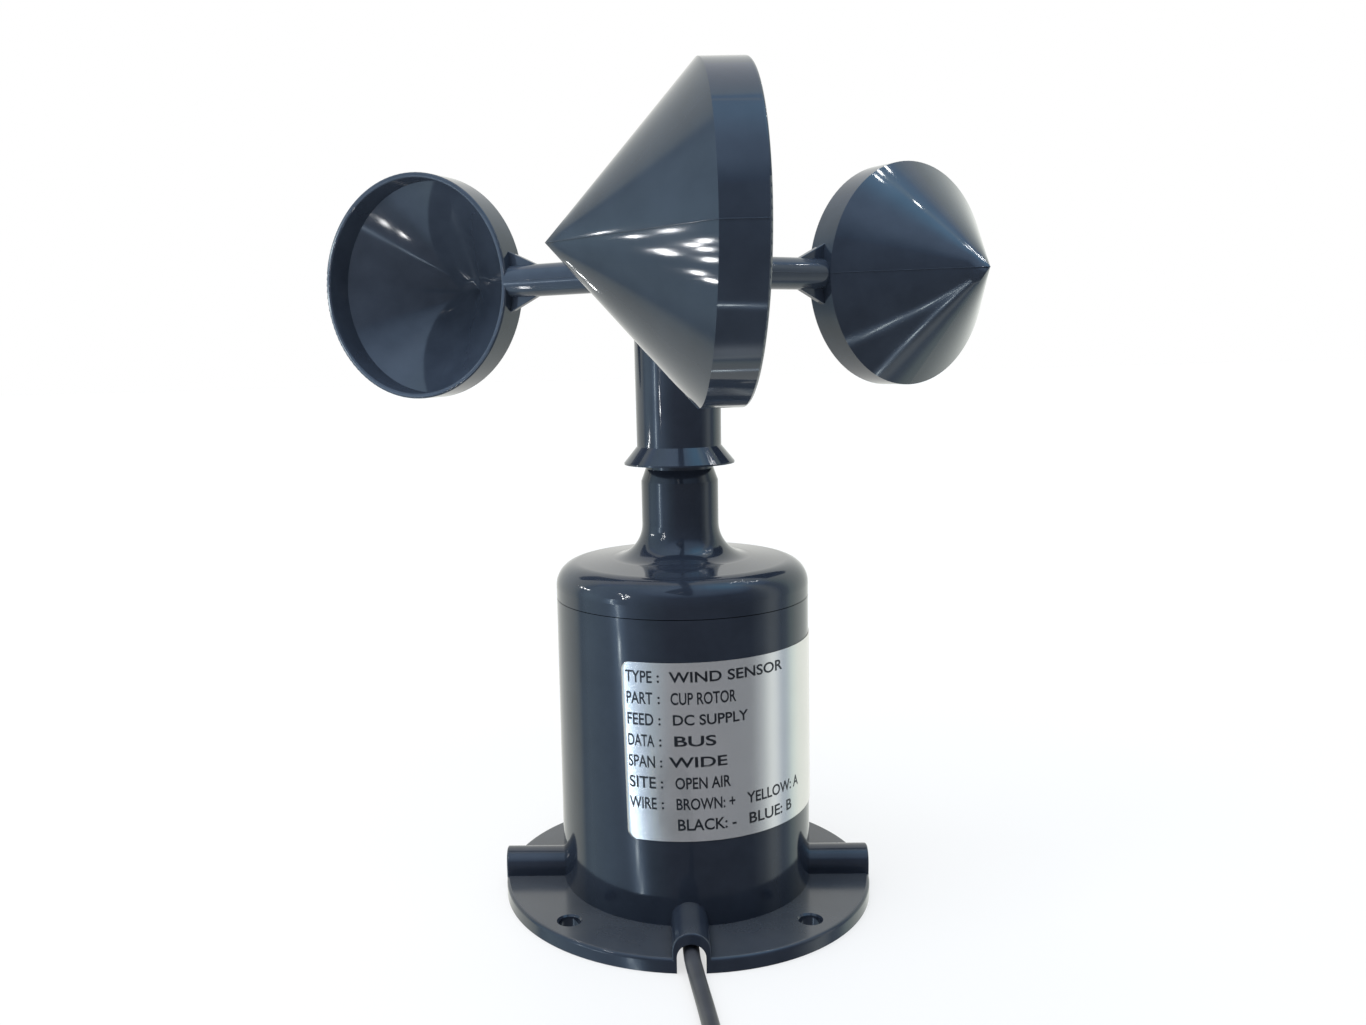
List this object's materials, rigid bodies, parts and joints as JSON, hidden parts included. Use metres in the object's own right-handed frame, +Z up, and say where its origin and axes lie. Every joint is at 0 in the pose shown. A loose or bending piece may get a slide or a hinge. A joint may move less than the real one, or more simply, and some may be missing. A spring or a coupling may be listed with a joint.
{
  "type": "cup anemometer",
  "caption": "Cup anemometer: cone-shaped cups on a ball-bearing shaft above a cylindrical sensor body with a flanged base, a foil label and a signal cable.",
  "frame": {"origin": "centre of the base flange's underside, on the rotor's axis", "axes": "+Z up along the rotor's shaft, -Y towards the front cable channel, +X to the right seen from the front"},
  "size_m": [0.1581, 0.175, 0.1582],
  "materials": {
    "black_plastic": "glossy",
    "rotor_plastic": "glossy",
    "steel": "brushed",
    "cage_nylon": "matt",
    "spacer_aluminium": "satin",
    "standoff_brass": "satin",
    "soft_rubber": "matt",
    "label_foil": "satin printed foil",
    "board_green": "solder mask",
    "terminal_green": "satin",
    "chip_black": "matt",
    "matte_black": "matt",
    "cable_jacket": "matt",
    "bare_copper": "tinned",
    "wire_brown": "satin",
    "wire_black": "satin",
    "wire_yellow": "satin",
    "wire_blue": "satin"
  },
  "bodies": {
    "stator": {"base_housing": "black_plastic", "bottom_cover": "matte_black", "cover_gasket": "soft_rubber", "cover_screws": "steel", "upper_cap": "black_plastic", "cap_o_ring": "soft_rubber", "spec_label": "label_foil", "upper_bearing_outer": "steel", "upper_bearing_shields": "steel", "lower_bearing_outer": "steel", "lower_bearing_shields": "steel", "pcb": "board_green", "pcb_standoffs": "standoff_brass", "pcb_screws": "steel", "terminal_block": "terminal_green", "terminal_screws": "steel", "opto_sensor": "chip_black", "controller_chip": "chip_black", "driver_chip": "chip_black", "capacitors": "spacer_aluminium", "regulator": "chip_black", "wire_brown": "wire_brown", "wire_black": "wire_black", "wire_yellow": "wire_yellow", "wire_blue": "wire_blue", "cable_grommet": "soft_rubber", "cable_lead_in": "cable_jacket", "cable_tie": "cage_nylon", "cable": "cable_jacket", "cable_coil": "cable_jacket", "cable_tail": "cable_jacket", "end_wire_brown": "wire_brown", "end_wire_black": "wire_black", "end_wire_yellow": "wire_yellow", "end_wire_blue": "wire_blue", "end_wire_tips": "bare_copper"},
    "rotor": {"shaft": "steel", "shaft_clip": "steel", "bearing_spacer": "spacer_aluminium", "upper_bearing_inner": "steel", "lower_bearing_inner": "steel", "encoder_disc": "matte_black", "encoder_collar": "matte_black", "collar_screw": "steel", "rotor_hub": "black_plastic", "hub_washer": "steel", "hub_nut": "steel", "hub_cap": "rotor_plastic", "cup_arm_1": "rotor_plastic", "cup_arm_2": "rotor_plastic", "cup_arm_3": "rotor_plastic"},
    "upper_ball_train": {"upper_bearing_balls": "steel", "upper_bearing_cage": "cage_nylon"},
    "lower_ball_train": {"lower_bearing_balls": "steel", "lower_bearing_cage": "cage_nylon"}
  },
  "joints": [
    {"name": "rotor_spin", "type": "hinge", "parent": "stator", "child": "rotor", "pos_m": [0, 0, 0.0908], "axis": [0, 0, 1], "continuous": true},
    {"name": "upper_ball_roll", "type": "hinge", "parent": "stator", "child": "upper_ball_train", "pos_m": [0, 0, 0.0908], "axis": [0, 0, 1], "continuous": true},
    {"name": "lower_ball_roll", "type": "hinge", "parent": "stator", "child": "lower_ball_train", "pos_m": [0, 0, 0.0596], "axis": [0, 0, 1], "continuous": true}
  ],
  "couplings": [
    {"joint": "upper_ball_roll", "follows": "rotor_spin", "ratio": 0.3947},
    {"joint": "lower_ball_roll", "follows": "rotor_spin", "ratio": 0.3947}
  ]
}
